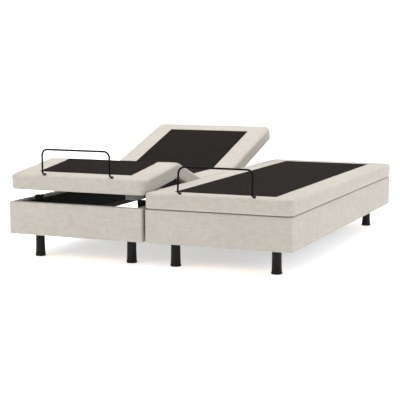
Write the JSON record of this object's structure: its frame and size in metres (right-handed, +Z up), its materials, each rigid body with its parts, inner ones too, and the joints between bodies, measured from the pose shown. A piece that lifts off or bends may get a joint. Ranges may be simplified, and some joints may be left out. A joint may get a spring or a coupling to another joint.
{
  "type": "adjustable bed base",
  "caption": "Upholstered two-part adjustable bed base: each half has head, seat, thigh and calf boards raised by linear drives, on black round legs, with wire mattress retainer bars.",
  "frame": {"origin": "on the floor in the middle of the pair of bases, under the centre of their overall box", "axes": "+Z up, -Y towards the foot end, +Y towards the head end, +X towards the right base seen from the foot end"},
  "size_m": [1.6, 2, 0.6035],
  "materials": {
    "upholstery": "light beige woven polyester, linen look",
    "inset_fabric": "charcoal non-slip woven fabric",
    "lining": "black non-woven dust cloth",
    "leg_plastic": "satin black",
    "black_steel": "black powder coat",
    "zinc_steel": "zinc plated",
    "motor_plastic": "moulded grey",
    "sill_wood": "raw softwood board"
  },
  "bodies": {
    "base": {"left_foot_wall": "upholstery", "left_head_wall": "upholstery", "left_outer_wall": "upholstery", "left_inner_wall": "upholstery", "left_foot_sill": "sill_wood", "left_head_sill": "sill_wood", "left_leg_foot_outer": "leg_plastic", "left_leg_foot_inner": "leg_plastic", "left_leg_head_outer": "leg_plastic", "left_leg_head_inner": "leg_plastic", "left_calf_rest_outer": "black_steel", "left_calf_rest_inner": "black_steel", "left_front_beam": "black_steel", "left_rear_beam": "black_steel", "left_seat_board": "upholstery", "left_head_pin": "zinc_steel", "left_thigh_pin": "zinc_steel", "left_head_motor": "motor_plastic", "left_thigh_motor": "motor_plastic", "left_control_box": "motor_plastic", "right_foot_wall": "upholstery", "right_head_wall": "upholstery", "right_outer_wall": "upholstery", "right_inner_wall": "upholstery", "right_foot_sill": "sill_wood", "right_head_sill": "sill_wood", "right_leg_foot_outer": "leg_plastic", "right_leg_foot_inner": "leg_plastic", "right_leg_head_outer": "leg_plastic", "right_leg_head_inner": "leg_plastic", "right_calf_rest_outer": "black_steel", "right_calf_rest_inner": "black_steel", "right_front_beam": "black_steel", "right_rear_beam": "black_steel", "right_seat_board": "upholstery", "right_head_pin": "zinc_steel", "right_thigh_pin": "zinc_steel", "right_head_motor": "motor_plastic", "right_thigh_motor": "motor_plastic", "right_control_box": "motor_plastic", "link_plate_foot": "zinc_steel", "link_plate_head": "zinc_steel"},
    "left_head": {"left_head_board": "upholstery", "left_head_lever": "black_steel"},
    "left_thigh": {"left_thigh_board": "upholstery", "left_thigh_lever": "black_steel", "left_knee_pin": "zinc_steel"},
    "left_calf": {"left_calf_board": "upholstery", "left_retainer_bar": "black_steel"},
    "left_head_drive": {"left_head_rod": "zinc_steel"},
    "left_thigh_drive": {"left_thigh_rod": "zinc_steel"},
    "right_head": {"right_head_board": "upholstery", "right_head_lever": "black_steel"},
    "right_thigh": {"right_thigh_board": "upholstery", "right_thigh_lever": "black_steel", "right_knee_pin": "zinc_steel"},
    "right_calf": {"right_calf_board": "upholstery", "right_retainer_bar": "black_steel"},
    "right_head_drive": {"right_head_rod": "zinc_steel"},
    "right_thigh_drive": {"right_thigh_rod": "zinc_steel"}
  },
  "joints": [
    {"name": "left_head_lift", "type": "hinge", "parent": "base", "child": "left_head", "pos_m": [-0.401, 0.25, 0.3766], "axis": [1, 0, 0], "range_deg": [-17, 43]},
    {"name": "left_thigh_lift", "type": "hinge", "parent": "base", "child": "left_thigh", "pos_m": [-0.401, -0.222, 0.3766], "axis": [-1, 0, 0], "range_deg": [-19.4, 20.6]},
    {"name": "left_knee_bend", "type": "hinge", "parent": "left_thigh", "child": "left_calf", "pos_m": [-0.401, -0.53609, 0.48721], "axis": [1, 0, 0], "range_deg": [-26.06, 27.68]},
    {"name": "left_head_push", "type": "slide", "parent": "base", "child": "left_head_drive", "axis": [0, 1, 0], "range_m": [-0.03542, 0.08959]},
    {"name": "left_thigh_push", "type": "slide", "parent": "base", "child": "left_thigh_drive", "axis": [0, -1, 0], "range_m": [-0.04977, 0.05285]},
    {"name": "right_head_lift", "type": "hinge", "parent": "base", "child": "right_head", "pos_m": [0.401, 0.25, 0.3766], "axis": [1, 0, 0], "range_deg": [0, 60]},
    {"name": "right_thigh_lift", "type": "hinge", "parent": "base", "child": "right_thigh", "pos_m": [0.401, -0.222, 0.3766], "axis": [-1, 0, 0], "range_deg": [0, 40]},
    {"name": "right_knee_bend", "type": "hinge", "parent": "right_thigh", "child": "right_calf", "pos_m": [0.401, -0.555, 0.3766], "axis": [1, 0, 0], "range_deg": [0, 53.73]},
    {"name": "right_head_push", "type": "slide", "parent": "base", "child": "right_head_drive", "axis": [0, 1, 0], "range_m": [0, 0.125]},
    {"name": "right_thigh_push", "type": "slide", "parent": "base", "child": "right_thigh_drive", "axis": [0, -1, 0], "range_m": [0, 0.10261]}
  ],
  "couplings": [
    {"joint": "left_knee_bend", "follows": "left_thigh_lift", "ratio": 1.343},
    {"joint": "left_head_push", "follows": "left_head_lift", "m_per_rad": 0.11937},
    {"joint": "left_thigh_push", "follows": "left_thigh_lift", "m_per_rad": 0.14697},
    {"joint": "right_knee_bend", "follows": "right_thigh_lift", "ratio": 1.343},
    {"joint": "right_head_push", "follows": "right_head_lift", "m_per_rad": 0.11937},
    {"joint": "right_thigh_push", "follows": "right_thigh_lift", "m_per_rad": 0.14697}
  ]
}
